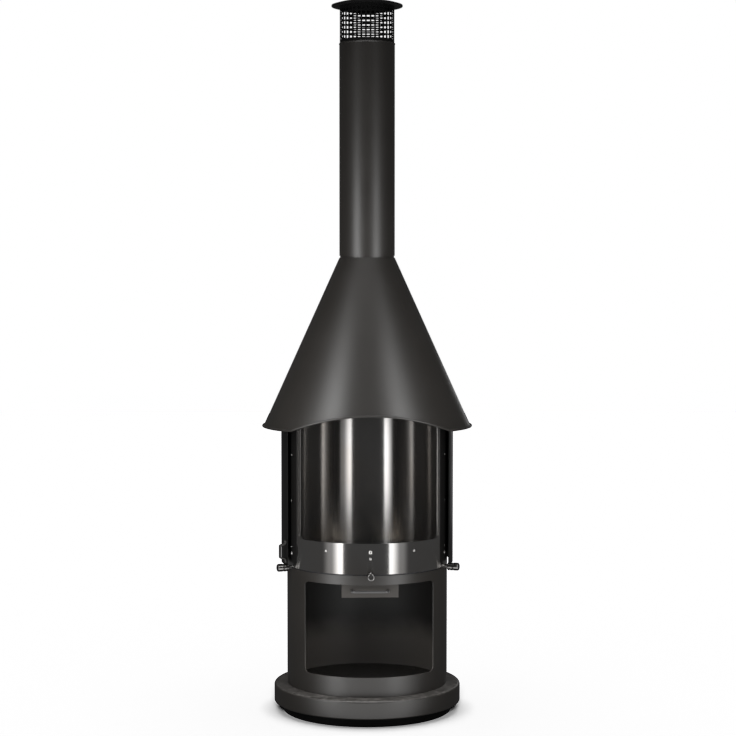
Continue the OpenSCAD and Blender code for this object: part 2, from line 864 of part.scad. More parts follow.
// One grooved roller: the shield's lower edge runs in its groove
module roller(angle) {
    r = roller_d / 2;
    e = roller_edge_r;
    to = roller_from + roller_w;
    color(stainless) spoke(angle, z_axle) rotate_extrude() polygon([
        [bore_r, roller_from], [r - e, roller_from], [r, roller_from + e],
        [r, roller_mid_r - groove_w / 2], [groove_d / 2, roller_mid_r - groove_w / 2],
        [groove_d / 2, roller_mid_r + groove_w / 2], [r, roller_mid_r + groove_w / 2],
        [r, to - e], [r - e, to], [bore_r, to]
    ]);
}

module roller_front() { roller(0); }
module roller_right() { roller(roller_angle); }
module roller_rear_right() { roller(2 * roller_angle); }
module roller_rear_left() { roller(-2 * roller_angle); }
module roller_left() { roller(-roller_angle); }

// Wind shield

module wind_shield() {
    from = 180 - shield_sweep / 2;
    color(black_paint) difference() {
        translate([0, 0, z_shield]) arc_wall(shield_in_r, shield_r, shield_h, from, from + shield_sweep);
        for (z = grip_screw_heights())
            spoke_bore(grip_angle, z, shield_in_r, shield_r, screw_r + run_fit);
    }
}

// A strip bent into a bow: two feet on the shield, two slanted legs and a straight grip
module shield_handle() {
    base = shield_r + fit;
    lean = grip_reach / 4;
    color(stainless) difference() {
        rotate([0, 0, grip_angle]) translate([-grip_w / 2, 0, z_grip]) rotate([90, 0, 90])
            linear_extrude(grip_w) polygon([
                [-base, 0], [-base, grip_foot], [-base - grip_reach + grip_t, grip_foot + lean],
                [-base - grip_reach + grip_t, grip_h - grip_foot - lean], [-base, grip_h - grip_foot],
                [-base, grip_h], [-base - grip_t, grip_h], [-base - grip_t, grip_h - grip_foot + grip_t / 2],
                [-base - grip_reach, grip_h - grip_foot - lean + grip_t / 2],
                [-base - grip_reach, grip_foot + lean - grip_t / 2],
                [-base - grip_t, grip_foot - grip_t / 2], [-base - grip_t, 0]
            ]);
        for (z = grip_screw_heights())
            spoke_bore(grip_angle, z, shield_r, base + grip_t, screw_r + run_fit);
    }
}

module shield_handle_screws() {
    seat = shield_r + fit + grip_t;
    color(stainless)
        for (z = grip_screw_heights())
            spoke_screw(grip_angle, z, seat, shield_in_r, screw_r, grip_head_r, grip_head_h);
}

// Hood

// The hood's cone, grown outwards, between two heights
module cone(grow, z_from, z_to) {
    translate([0, 0, z_from])
        cylinder(h = z_to - z_from, r1 = hood_out_r(z_from) + grow, r2 = hood_out_r(z_to) + grow, $fn = 128);
}

// The arch's cutter, a level cylinder through the front half
module arch_cut(grow) {
    translate([0, 0, z_arch]) rotate([90, 0, 0])
        cylinder(h = rim_r + hem_t + over, r = arch_r + grow, $fn = 128);
}

module hood() {
    color(paint) difference() {
        cone(0, z_rim, z_hood_top);
        cone(-level_sheet, z_rim - over, z_hood_top + over);
        arch_cut(0);
    }
}

// A hem strip outside the cone, along the level edge and along the arch
module hood_hem() {
    color(paint) difference() {
        intersection() {
            cone(hem_t, z_rim, z_hood_top);
            union() {
                translate([0, 0, z_rim - over]) cylinder(h = hem_h + over, r = rim_r + hem_t + over);
                arch_cut(hem_h);
            }
        }
        cone(fit, z_rim - over, z_hood_top + over);
        arch_cut(0);
    }
}

// An angle ring inside the hood, which rests on the shell's top edge
module hood_ring() {
    z0 = z_shell_top;
    z1 = z0 + hood_ring_rise;
    color(dark_steel) difference() {
        rotate_extrude() polygon([
            [post_in_r - tab_reach, z0], [hood_in_r(z0) - fit, z0], [hood_in_r(z1) - fit, z1],
            [hood_in_r(z1) - fit - hood_ring_t, z1],
            [hood_in_r(z0 + hood_ring_t) - fit - hood_ring_t, z0 + hood_ring_t],
            [post_in_r - tab_reach, z0 + hood_ring_t]
        ]);
        for (a = concat(side_angles(), rear_angles())) tab_bore(a);
    }
}

module hood_bolts() {
    shank = hood_ring_t + post_t + bolt_nut_h + nut_end;
    color(stainless)
        for (a = concat(side_angles(), rear_angles()))
            rotate([0, 0, a]) translate([0, -tab_bolt_r, z_shell_top + hood_ring_t]) {
                translate([0, 0, -shank]) cylinder(h = shank, r = bolt_r);
                dome_head(bolt_head_r, bolt_head_h);
            }
}

// Flue

module flue_collar() {
    color(paint) translate([0, 0, z_hood_top - collar_h / 2])
        ring(collar_r - flue_sheet, collar_r, collar_h);
}

module flue_pipe() {
    z0 = z_hood_top;
    color(paint) rotate_extrude() polygon([
        [flue_in_r, z0], [flue_r, z0], [flue_r, z_flue_top - bead_h],
        [flue_r + bead_t, z_flue_top - bead_h / 2], [flue_r, z_flue_top], [flue_in_r, z_flue_top]
    ]);
}

// Spark screen and cap

module spark_screen() {
    z0 = z_flue_top - screen_seat;
    z_row = z_cap - mesh_top_margin - mesh_hole / 2;
    color(black_paint) difference() {
        translate([0, 0, z0]) ring(screen_in_r, screen_r, z_cap - z0);
        for (row = [0:mesh_rows - 1])
            for (i = [0:mesh_columns - 1])
                rotate([0, 0, i * 360 / mesh_columns])
                    translate([-mesh_hole / 2, -screen_r - over, z_row - row * mesh_row_pitch])
                        cube([mesh_hole, 2 * over, mesh_hole]);
    }
}

// A flat ring inside the screen's top edge, which takes the cap's screws
module screen_ring() {
    color(black_paint) difference() {
        translate([0, 0, z_cap - screen_sheet])
            ring(screen_in_r - screen_flange_w, screen_in_r - fit, screen_sheet);
        cap_bores();
    }
}

module cap_bores() {
    for (i = [0:3])
        rotate([0, 0, 45 + i * 90]) translate([0, -cap_screw_r, z_cap - screen_sheet - over])
            cylinder(h = screen_sheet + cap_sheet + 2 * over, r = screw_r + run_fit);
}

module cap_plate() {
    color(black_paint) difference() {
        translate([0, 0, z_cap]) cylinder(h = cap_sheet, r = cap_r - cap_sheet - fit);
        cap_bores();
    }
}

module cap_screws() {
    color(stainless)
        for (i = [0:3])
            rotate([0, 0, 45 + i * 90]) translate([0, -cap_screw_r, z_cap - screen_sheet]) {
                rotate([180, 0, 0]) dome_head(screw_head_r, screw_head_h);
                cylinder(h = screen_sheet + cap_sheet, r = screw_r);
            }
}

// A shallow spun dome whose edge wraps the base plate
module rain_cap() {
    t = cap_sheet;
    z0 = z_cap;
    z1 = z_cap + cap_edge_h;
    ball_r = (cap_r * cap_r + cap_rise * cap_rise) / (2 * cap_rise);
    half = asin(cap_r / ball_r);
    in_half = asin((cap_r - t) / (ball_r - t));
    z_ball = z1 + cap_rise - ball_r;
    color(black_paint) rotate_extrude() polygon(concat(
        [[cap_r - t, z0], [cap_r, z0]],
        [for (i = [0:12]) let (a = half * (1 - i / 12)) [ball_r * sin(a), z_ball + ball_r * cos(a)]],
        [for (i = [0:12]) let (a = in_half * i / 12) [(ball_r - t) * sin(a), z_ball + (ball_r - t) * cos(a)]]
    ));
}

plinth();
bottom_plate();
base_pan();
base_bolts();
store_floor();
wood_store();
hearth_ring();
hearth_plate();
ash_chute();
fire_grate();
cooking_grid();
drawer_rails();
ash_drawer();
drawer_sides();
drawer_ends();
drawer_front();
drawer_handle();
drawer_handle_screws();
firebox_shell();
window_frame();
front_strap();
support_posts();
top_brackets();
band_liner();
liner_spacers();
band_screws();
strip_screws();
dome_bolts();
bolt_nuts();
screw_nuts();
guide_pads();
pad_screws();
roller_axles();
axle_spacers();
roller_front();
roller_right();
roller_rear_right();
roller_rear_left();
roller_left();
wind_shield();
shield_handle();
shield_handle_screws();
hood_ring();
hood_bolts();
hood();
hood_hem();
flue_collar();
flue_pipe();
spark_screen();
screen_ring();
cap_plate();
cap_screws();
rain_cap();
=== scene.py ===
# %% [markdown]
# # An outdoor grill fireplace
# The fireplace stands on a round base. From the ground up it has a plinth, a base pan, a wood
# store with an ash drawer, a stainless fire chamber with a turning wind shield, a cone hood, and
# a flue with a spark screen and a rain cap. The CAD model already fixes every size and place.
# Here the thin sheets are modelled again with fine, clean edges, and every surface gets a finish.

# %% Load the frame
import json
from math import asin, atan, cos, degrees, pi, radians, sin, sqrt

import bpy
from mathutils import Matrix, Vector

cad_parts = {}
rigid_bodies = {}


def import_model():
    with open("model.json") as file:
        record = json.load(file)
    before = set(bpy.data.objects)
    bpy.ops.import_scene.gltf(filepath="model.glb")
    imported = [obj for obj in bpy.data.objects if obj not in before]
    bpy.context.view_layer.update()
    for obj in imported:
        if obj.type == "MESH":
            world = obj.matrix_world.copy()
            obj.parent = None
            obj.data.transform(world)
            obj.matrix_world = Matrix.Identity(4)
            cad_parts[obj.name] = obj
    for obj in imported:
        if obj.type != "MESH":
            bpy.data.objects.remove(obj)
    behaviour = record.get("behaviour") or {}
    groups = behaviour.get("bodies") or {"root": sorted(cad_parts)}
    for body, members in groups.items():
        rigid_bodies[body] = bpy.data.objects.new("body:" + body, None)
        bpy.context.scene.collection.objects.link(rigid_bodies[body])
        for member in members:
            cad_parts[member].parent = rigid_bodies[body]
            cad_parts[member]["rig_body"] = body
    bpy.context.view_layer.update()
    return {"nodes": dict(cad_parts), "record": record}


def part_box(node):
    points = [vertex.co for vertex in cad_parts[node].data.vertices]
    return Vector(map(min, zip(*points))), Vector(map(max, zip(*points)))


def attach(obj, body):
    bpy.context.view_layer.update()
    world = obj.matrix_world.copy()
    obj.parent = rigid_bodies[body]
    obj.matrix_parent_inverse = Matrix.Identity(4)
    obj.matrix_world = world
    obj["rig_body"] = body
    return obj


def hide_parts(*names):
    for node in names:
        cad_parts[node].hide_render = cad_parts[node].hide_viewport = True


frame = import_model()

MM = 0.001

# %% [markdown]
# ## Sizes from the frame
# Each sheet takes its radius and its heights from the box of the CAD node that it stands for, so
# nothing is fitted by eye. Only what a box can't tell, such as a sheet's thickness or the width
# of an opening, is a named size here.

# %% Sizes
plinth_low, plinth_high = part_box("plinth")
pan_low, pan_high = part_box("base_pan")
store_low, store_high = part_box("wood_store")
shell_low, shell_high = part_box("firebox_shell")
border_low, border_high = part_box("window_frame")
shield_low, shield_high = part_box("wind_shield")
hood_low, hood_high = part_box("hood")
pipe_low, pipe_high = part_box("flue_pipe")
cap_low, cap_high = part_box("rain_cap")

base_sheet = 3 * MM
store_sheet = 3 * MM
shell_sheet = 2 * MM
border_sheet = 2 * MM
shield_sheet = 1.5 * MM
hood_sheet = 2 * MM
pipe_sheet = 1.5 * MM
cap_sheet = 2 * MM

store_r = store_high.x
shell_r = shell_high.x
shield_r = shield_high.x
rim_r = hood_high.y
pipe_r = 100 * MM
print("radii in mm", [round(r / MM, 1) for r in (store_r, shell_r, shield_r, rim_r)])

# %% [markdown]
# ## Small helpers
# An operator acts on whatever is selected, and loading the frame leaves its nodes selected. So
# one helper makes a piece the only selected one, and each later step starts with it. Real sheet
# metal has a thickness and no perfectly sharp edge, so every sheet ends with the same three
# modifiers: Solidify, Bevel, and Weighted Normal for even shading.

# %% Selection and modifiers
def take_up(piece):
    """Makes a piece the only selected and the active object."""
    bpy.ops.object.select_all(action="DESELECT")
    piece.select_set(True)
    bpy.context.view_layer.objects.active = piece


def pick_faces(piece, wanted):
    """Opens a piece in edit mode with only the wanted faces selected."""
    take_up(piece)
    bpy.ops.object.mode_set(mode="EDIT")
    bpy.ops.mesh.select_mode(type="FACE")
    bpy.ops.mesh.select_all(action="DESELECT")
    bpy.ops.object.mode_set(mode="OBJECT")
    for face in piece.data.polygons:
        face.select = wanted(face)
    bpy.ops.object.mode_set(mode="EDIT")


def weld_vertices(piece, distance=0.01 * MM):
    """Merges what meets, such as the two ends of a rolled sheet."""
    take_up(piece)
    bpy.ops.object.mode_set(mode="EDIT")
    bpy.ops.mesh.select_all(action="SELECT")
    bpy.ops.mesh.remove_doubles(threshold=distance)
    bpy.ops.object.mode_set(mode="OBJECT")


def modify(piece, kind, **settings):
    """Adds one modifier, sets it and applies it."""
    take_up(piece)
    bpy.ops.object.modifier_add(type=kind)
    modifier = piece.modifiers[-1]
    for name, value in settings.items():
        setattr(modifier, name, value)
    bpy.ops.object.modifier_apply(modifier=modifier.name)


SHARP_ANGLE = radians(40)
BIG_FACES_FIRST = 90


def thicken_and_soften(piece, thickness, edge, bevel_steps=2):
    """Gives a sheet its thickness inwards, breaks its sharp edges and evens its shading."""
    take_up(piece)
    bpy.ops.object.shade_smooth()
    if thickness:
        modify(piece, "SOLIDIFY", thickness=thickness, offset=-1, use_even_offset=True)
    modify(piece, "BEVEL", width=edge, segments=bevel_steps, limit_method="ANGLE",
           angle_limit=SHARP_ANGLE, use_clamp_overlap=True)
    modify(piece, "WEIGHTED_NORMAL", weight=BIG_FACES_FIRST, keep_sharp=False)


def even_steps(start, stop, count):
    """Evenly spaced values from start to stop, both included."""
    return [start + (stop - start) * i / count for i in range(count + 1)]

# %% [markdown]
# ## Flat blanks, rolled up
# A sheet-metal worker cuts a flat blank, with its window in it, and then rolls it into a tube or
# a cone. The same order gives the cleanest mesh: a grid is a flat blank, faces deleted from it
# leave the window, and placing each row and column of the grid on a circle rolls it up. All faces
# stay four-sided, and the columns crowd together only where a corner is round.

# %% Rolled sheets
ROLL_STEP = radians(1.8)
CORNER_STEPS = 8


def blank(name, columns, rows, place, cut=None):
    """A grid with faces cut away, each of its vertices then put in place by column and row."""
    bpy.ops.object.select_all(action="DESELECT")
    bpy.ops.mesh.primitive_grid_add(x_subdivisions=columns, y_subdivisions=rows, size=1)
    piece = bpy.context.object
    piece.name = name
    if cut:
        def is_cut(face):
            return cut((face.center.x + 0.5) * columns, (face.center.y + 0.5) * rows)
        pick_faces(piece, is_cut)
        bpy.ops.mesh.delete(type="FACE")
        bpy.ops.object.mode_set(mode="OBJECT")
    for vertex in piece.data.vertices:
        column = round((vertex.co.x + 0.5) * columns)
        row = round((vertex.co.y + 0.5) * rows)
        vertex.co = place(column, row)
    weld_vertices(piece)
    return piece


def on_wall(angle, radius, height):
    """A point on a round wall, its angle counted from the front towards +X."""
    return Vector((radius * sin(angle), -radius * cos(angle), height))


def angles_between(start, stop):
    """Angles from start to stop, no further apart than one roll step."""
    count = max(1, round((stop - start) / ROLL_STEP))
    return even_steps(start, stop, count)


def rolled(name, columns, radius_at, cut=None):
    """Rolls a blank: each column is an angle with its heights, from the lowest to the highest."""
    def place(column, row):
        angle, heights = columns[column]
        return on_wall(angle, radius_at(heights[row]), heights[row])
    return blank(name, len(columns) - 1, len(columns[0][1]) - 1, place, cut)


def window_columns(radius, width, corner_r, sill, head, foot, top, reach):
    """Columns of a wall that reaches to both sides of a window with rounded corners."""
    side = []
    for turn in even_steps(0, pi / 2, CORNER_STEPS):
        across = width / 2 - corner_r * (1 - sin(turn))
        side.append((asin(across / radius), corner_r * (1 - cos(turn))))
    middle = angles_between(-side[0][0], side[0][0])[1:-1]
    outer = angles_between(side[-1][0], reach)[1:]
    half = side + [(angle, corner_r) for angle in outer]
    marks = [(-angle, lift) for angle, lift in reversed(half)]
    marks += [(angle, 0) for angle in middle] + half
    first_cut = len(outer)
    cut_count = len(marks) - 1 - 2 * len(outer)
    columns = [(angle, [foot, sill + lift, head - lift, top]) for angle, lift in marks]
    return columns, first_cut, cut_count


def wall_with_window(name, radius, width, corner_r, sill, head, foot, top, reach=pi):
    """A rolled wall with one rounded window in its front."""
    columns, first, count = window_columns(radius, width, corner_r, sill, head, foot, top, reach)
    return rolled(name, columns, lambda z: radius,
                  cut=lambda column, row: first < column < first + count and 1 < row < 2)

# %% [markdown]
# ## Spun and bent pieces
# A pan, a pipe or a cap is round about one axis, so its outline is drawn once and spun. A handle
# or a rolled hem is a rod that follows a line, so a curve with a round section makes it.

# %% Spun outlines and bent rods
SPIN_STEPS = 200
ROD_SMOOTHNESS = 4


def arc(centre_r, centre_z, radius, start, stop, steps=6):
    """Points of an outline's round corner, with angles in degrees from outwards to up."""
    turns = even_steps(radians(start), radians(stop), steps)
    return [(centre_r + radius * cos(turn), centre_z + radius * sin(turn)) for turn in turns]


def spun(name, outline, closed=False):
    """Spins an outline of radius and height about the upright axis."""
    rows = len(outline) if closed else len(outline) - 1

    def place(column, row):
        radius, height = outline[row % len(outline)]
        return on_wall(2 * pi * column / SPIN_STEPS, radius, height)
    return blank(name, SPIN_STEPS, rows, place)


def bent_rod(name, points, radius, closed=False):
    """A round rod along a line."""
    curve = bpy.data.curves.new(name, "CURVE")
    curve.dimensions = "3D"
    curve.bevel_depth = radius
    curve.bevel_resolution = ROD_SMOOTHNESS
    curve.use_fill_caps = not closed
    spline = curve.splines.new("POLY")
    spline.points.add(len(points) - 1)
    for i, point in enumerate(points):
        spline.points[i].co = (*point, 1)
    spline.use_cyclic_u = closed
    rod = bpy.data.objects.new(name, curve)
    bpy.context.scene.collection.objects.link(rod)
    take_up(rod)
    bpy.ops.object.convert(target="MESH")
    bpy.ops.object.shade_smooth()
    return bpy.context.object

# %% [markdown]
# ## Shader maths
# A finish is built from a few signals, such as noise or height, that are added and multiplied.
# Written as sums they stay readable, so one small class wraps a socket and adds the Math nodes.
# Colours don't pass a Math node, which would turn them grey. They are blended by a Mix node.

# %% Signals and finishes
class Signal:
    """An output socket that can take part in sums."""

    def __init__(self, nodes, socket):
        self.nodes = nodes
        self.socket = socket

    def math(self, operation, first, second):
        return self.nodes.node("ShaderNodeMath", {"operation": operation}, {0: first, 1: second})

    def __add__(self, other):
        return self.math("ADD", self, other)

    __radd__ = __add__

    def __mul__(self, other):
        return self.math("MULTIPLY", self, other)

    __rmul__ = __mul__

    def __sub__(self, other):
        return self.math("SUBTRACT", self, other)

    def __rsub__(self, other):
        return self.math("SUBTRACT", other, self)


class Nodes:
    """The emptied node tree of a material, a light or a world."""

    def __init__(self, owner):
        owner.use_nodes = True
        self.tree = owner.node_tree
        self.tree.nodes.clear()

    def node(self, kind, settings, values, output=0):
        """Adds a node, sets it first, then gives its sockets their values or links."""
        made = self.tree.nodes.new(kind)
        for name, value in settings.items():
            setattr(made, name, value)
        for key, value in values.items():
            if isinstance(value, Signal):
                self.tree.links.new(value.socket, made.inputs[key])
            else:
                made.inputs[key].default_value = value
        return Signal(self, made.outputs[output])

    def finish_with(self, kind, shader):
        """Links the last shader to the tree's output."""
        end = self.tree.nodes.new(kind)
        self.tree.links.new(shader.socket, end.inputs["Surface"])

    def split(self, vector, axis):
        return self.node("ShaderNodeSeparateXYZ", {}, {0: vector}, axis)

    def ramp(self, value, low, high):
        """0 below low, 1 above high, and smooth between them."""
        return self.node("ShaderNodeMapRange", {"interpolation_type": "SMOOTHSTEP"}, {
            "Value": value, "From Min": low, "From Max": high})

    def fade(self, value, low, high):
        """1 below low, 0 above high, and smooth between them."""
        return 1 - self.ramp(value, low, high)


class Finish(Nodes):
    """One procedural material."""

    def __init__(self, name):
        self.material = bpy.data.materials.new(name)
        super().__init__(self.material)
        self.place = self.node("ShaderNodeTexCoord", {}, {}, "Object")

    def noise(self, scale, detail=2.0, rough=0.5, place=None):
        return self.node("ShaderNodeTexNoise", {}, {
            "Vector": place or self.place, "Scale": scale, "Detail": detail, "Roughness": rough})

    def stretched(self, factors):
        """Object coordinates scaled by axis, to draw a grain out along one of them."""
        return self.node("ShaderNodeVectorMath", {"operation": "MULTIPLY"}, {
            0: self.place, 1: factors})

    def blend(self, share, first, second):
        """A colour between two. Sockets 6 and 7 and output 2 are the Mix node's colours."""
        sockets = {0: share, 6: first, 7: second}
        return self.node("ShaderNodeMix", {"data_type": "RGBA"}, sockets, output=2)

    def facing_up(self):
        """1 on a face that looks straight up, 0 on a wall."""
        return self.split(self.node("ShaderNodeNewGeometry", {}, {}, "Normal"), "Z")

    def bump(self, height, distance):
        return self.node("ShaderNodeBump", {}, {
            "Strength": 1.0, "Distance": distance, "Height": height})

    def surface(self, values):
        """Ends the finish with its shader."""
        shader = self.node("ShaderNodeBsdfPrincipled", {}, values)
        self.finish_with("ShaderNodeOutputMaterial", shader)
        return self.material


def grey(value, warmth=0.0):
    """A near-neutral colour. Warmth lifts red and lowers blue by a share."""
    return (value * (1 + warmth), value, value * (1 - warmth), 1)


def scaled(colour, factor):
    """A colour made darker or lighter, still opaque."""
    return [channel * factor for channel in colour[:3]] + [1]

# %% [markdown]
# ## Finishes
# The body is sprayed with a heat-resistant paint: nearly black, slightly warm, semi-matte, with
# the fine pebbling that spray leaves. Dust settles on what faces up; on the pan it is laid on
# thicker, as painted light that makes the flat top lighter. The gloss wanders a little from place
# to place, which is what makes a plain dark surface look real. Inside the wood store the wall is
# painted lighter below a wavy line and near black above it: painted light low down and painted
# shade under the hearth. That one paint knows by its radius where inside is.

# %% Painted steel
dust_and_lit_top_colour = grey(0.22, 0.06)
painted_light_low_wall = grey(0.14, 0.1)
painted_shade_under_hearth = grey(0.01, 0.1)
clouds_per_m = 7
pebbles_per_m = 650
specks_per_m = 2200
top_patches_per_m = 45
light_and_shade_line_low = 220 * MM
light_and_shade_line_high = 330 * MM
light_and_shade_line_wander = 60 * MM
inside_edge = 0.2 * MM
colour_drift = 0.14
roughness_drift = 0.12


def sprayed_paint(name, colour, roughness, pebble=0.06 * MM, dust_and_lit_top=0.25, gloss=0.5, inside=None):
    """Sprayed paint. Within the radius of inside, painted light lies low and painted shade above.
    """
    finish = Finish(name)
    clouds = finish.noise(clouds_per_m, 4)
    pebbles = finish.noise(pebbles_per_m, 2)
    specks = finish.ramp(finish.noise(specks_per_m, 1), 0.68, 0.74)
    patches = finish.ramp(finish.noise(top_patches_per_m, 5, 0.7), 0.35, 0.75)
    # Dust on faces that look up. With a large share, as on the pan, it is also painted light on
    # the top.
    dust_and_lit_top_share = finish.ramp(finish.facing_up(), 0.35, 1) * patches
    shade = finish.blend(
        clouds, scaled(colour, 1 - colour_drift), scaled(colour, 1 + colour_drift))
    tone = finish.blend(dust_and_lit_top_share * dust_and_lit_top, shade, dust_and_lit_top_colour)
    rough = roughness - roughness_drift / 2 + clouds * roughness_drift
    rough = rough + specks * 0.1 + dust_and_lit_top_share * 0.2
    # Inside the store: painted light on the lower wall, painted shade under the hearth above a
    # wavy line.
    if inside:
        x, y, z = [finish.split(finish.place, axis) for axis in "XYZ"]
        within = finish.fade(x * x + y * y, (inside - inside_edge) ** 2, inside ** 2)
        low = finish.fade(z + clouds * light_and_shade_line_wander, light_and_shade_line_low, light_and_shade_line_high)
        tone = finish.blend(within, tone, finish.blend(low, painted_shade_under_hearth, painted_light_low_wall))
        rough = rough + within * 0.14
    return finish.surface({
        "Base Color": tone,
        "Roughness": rough,
        "Normal": finish.bump(pebbles, pebble),
        "Specular IOR Level": gloss,
    })


charcoal = grey(0.02, 0.13)
body_roughness = 0.41
body_gloss = 0.85
coarse_pebble = 0.1 * MM
charcoal_paint = sprayed_paint(
    "charcoal_paint_sprayed", charcoal, body_roughness, gloss=body_gloss)
black_paint = sprayed_paint("black_paint_satin", grey(0.012, 0.05), 0.4)
# The store's paint, with painted light low on its inner wall and painted shade under the hearth.
store_paint_shaded_inside = sprayed_paint(
    "store_paint_painted_light_and_shade_inside", charcoal, body_roughness, gloss=body_gloss,
    inside=store_r - 1 * MM)
# The pan's dust share is raised, which paints its flat top lighter: partly dust, partly painted
# light.
pan_paint_lit_top = sprayed_paint(
    "pan_paint_dust_and_painted_light_on_top", charcoal, body_roughness, dust_and_lit_top=0.6, gloss=body_gloss)
shield_paint = sprayed_paint(
    "shield_paint_satin", grey(0.005, 0.02), 0.45, coarse_pebble, dust_and_lit_top=0.15, gloss=0.35)
bow_paint = sprayed_paint("bow_paint_glossy", grey(0.1), 0.3, 0.03 * MM, dust_and_lit_top=0.1, gloss=0.7)
handle_paint = sprayed_paint("handle_paint_satin", grey(0.05, 0.04), 0.4)
plate_paint = sprayed_paint("plate_paint_satin", grey(0.06, 0.1), 0.45, gloss=0.6)
screen_paint = sprayed_paint(
    "screen_paint_matte", grey(0.006), 0.6, coarse_pebble, dust_and_lit_top=0.1, gloss=0.2)
# The plinth's paint is black, and darker still and nearly matte as painted shade under the pan's
# overhang.
plinth_paint_painted_shade = sprayed_paint(
    "plinth_paint_black_and_painted_shade", grey(0.004), 0.6, coarse_pebble, dust_and_lit_top=0.15, gloss=0.1)
print("body colour", [round(channel, 3) for channel in charcoal])

# %% [markdown]
# The stainless sheet is brushed round the chamber. Across the brush lines a reflection is drawn
# out, along them it stays crisp, so a softbox turns into an upright band with clean sides. The
# shader's anisotropy does this, and a faint haze and a straw-coloured heat tint break it up.
# Rollers, screws and grid rods are plain bright steel, each with its own wear.

# %% Bright stainless
brush_lines = (30, 30, 1800)
turning_marks = (700, 700, 700)
quarter_turn = 0.25
straw_tint = (0.42, 0.33, 0.22, 1)


def sheet_steel():
    finish = Finish("stainless_sheet")
    grain = finish.noise(1, 3, 0.6, finish.stretched(brush_lines))
    haze = finish.noise(9, 4)
    tint = finish.ramp(finish.noise(4, 3), 0.4, 0.8)
    return finish.surface({
        "Base Color": finish.blend(tint, grey(0.48, 0.02), grey(0.44, 0.06)),
        "Metallic": 0.93,
        "Roughness": 0.175 + haze * 0.02 + grain * 0.03,
        "Anisotropic": 1.0,
        "Anisotropic Rotation": quarter_turn,
        "Normal": finish.bump(grain, 0.004 * MM),
    })


def turned_steel():
    finish = Finish("turned_stainless")
    rings = finish.noise(1, 2, 0.5, finish.stretched(turning_marks))
    wear = finish.noise(60, 3)
    return finish.surface({
        "Base Color": finish.blend(wear, grey(0.3, 0.02), grey(0.2, 0.03)),
        "Metallic": 1.0,
        "Roughness": 0.09 + wear * 0.08,
        "Normal": finish.bump(rings, 0.02 * MM),
    })


def fastener_steel():
    finish = Finish("fastener_stainless")
    pits = finish.noise(500, 2)
    return finish.surface({
        "Base Color": finish.blend(finish.noise(90, 2), grey(0.62, 0.01), grey(0.5, 0.04)),
        "Metallic": 1.0,
        "Roughness": 0.18 + pits * 0.16,
        "Normal": finish.bump(pits, 0.03 * MM),
    })


def rod_steel():
    finish = Finish("grid_rods_heat_tinted")
    heat = finish.ramp(finish.noise(8, 3), 0.35, 0.7)
    soot = finish.ramp(finish.noise(60, 4), 0.55, 0.75)
    return finish.surface({
        "Base Color": finish.blend(heat, grey(0.55, 0.02), straw_tint),
        "Metallic": 1.0,
        "Roughness": 0.22 + soot * 0.25,
        "Normal": finish.bump(soot, 0.04 * MM),
    })


stainless_sheet = sheet_steel()
turned_stainless = turned_steel()
fastener_stainless = fastener_steel()
grid_rods = rod_steel()

# %% [markdown]
# Inside, nobody paints. Bars and plates keep the blue-grey scale of the rolling mill, with rust
# in its pores, and the grate is cast in sand, which leaves it rough.

# %% Bare steel and cast iron
scale_blue = (0.035, 0.037, 0.042, 1)
scale_grey = (0.075, 0.075, 0.078, 1)
rust_brown = (0.12, 0.055, 0.028, 1)


def mill_scale():
    finish = Finish("mill_scaled_steel")
    clouds = finish.noise(25, 5, 0.6)
    rust = finish.ramp(finish.noise(110, 5, 0.65), 0.56, 0.72)
    scale = finish.blend(clouds, scale_blue, scale_grey)
    return finish.surface({
        "Base Color": finish.blend(rust * 0.6, scale, rust_brown),
        "Metallic": 0.6 - rust * 0.5,
        "Roughness": 0.45 + clouds * 0.2 + rust * 0.25,
        "Normal": finish.bump(clouds + rust * 0.5, 0.15 * MM),
    })


def cast_iron():
    finish = Finish("cast_iron_rough")
    sand = finish.noise(420, 4, 0.7)
    ash = finish.ramp(finish.facing_up(), 0.5, 1) * finish.ramp(finish.noise(40, 5), 0.4, 0.7)
    return finish.surface({
        "Base Color": finish.blend(ash * 0.5, grey(0.04, 0.03), grey(0.3, 0.03)),
        "Metallic": 0.3,
        "Roughness": 0.6 + sand * 0.25,
        "Normal": finish.bump(sand, 0.5 * MM),
    })


mill_scaled_steel = mill_scale()
rough_iron = cast_iron()

# %% [markdown]
# Every CAD node that stays gets its finish by the material slot that the record gives it. A
# piece modelled here names the node that it stands for, and rides on that node's body, so it
# moves as the node does. A few pieces then get a paint of their own in place of the slot's.

# %% Finishes for the CAD nodes
FINISHES = {
    "charcoal_paint": charcoal_paint, "black_paint": black_paint, "screen_paint": screen_paint,
    "shell_steel": stainless_sheet, "turned_steel": turned_stainless,
    "stainless_rod": grid_rods, "fastener": fastener_stainless,
    "bare_steel": mill_scaled_steel, "cast_iron": rough_iron,
}
SLOT_OF = {part["node"]: part["material_slot"] for part in frame["record"]["subparts"]}


def dress(piece, slot):
    """Gives a piece the finish of one of the record's material slots."""
    piece.data.materials.clear()
    piece.data.materials.append(FINISHES[slot])


for node_name, node_object in frame["nodes"].items():
    dress(node_object, SLOT_OF[node_name])
print("dressed", len(frame["nodes"]), "CAD nodes")


def goes_with(piece, node):
    """A piece that only adds to a CAD node, on the same body and in the same finish."""
    dress(piece, SLOT_OF[node])
    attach(piece, frame["nodes"][node]["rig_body"])


def stand_in(piece, node, paint=None):
    """A piece that takes a CAD node's place: its body, its slot, and its finish or a paint."""
    goes_with(piece, node)
    if paint:
        piece.data.materials[0] = paint
    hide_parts(node)
    print(piece.name, "stands for", node, "with", len(piece.data.polygons), "faces")

# %% [markdown]
# ## Plinth and base pan
# The pan is pressed from one sheet, and the plinth is a plain ring under it. Both could be
# cylinders with bevels, but the pan's shoulder is a quarter round and its top slopes to the wood
# store's foot. So an outline with arcs is spun, and the sheet's thickness comes after.

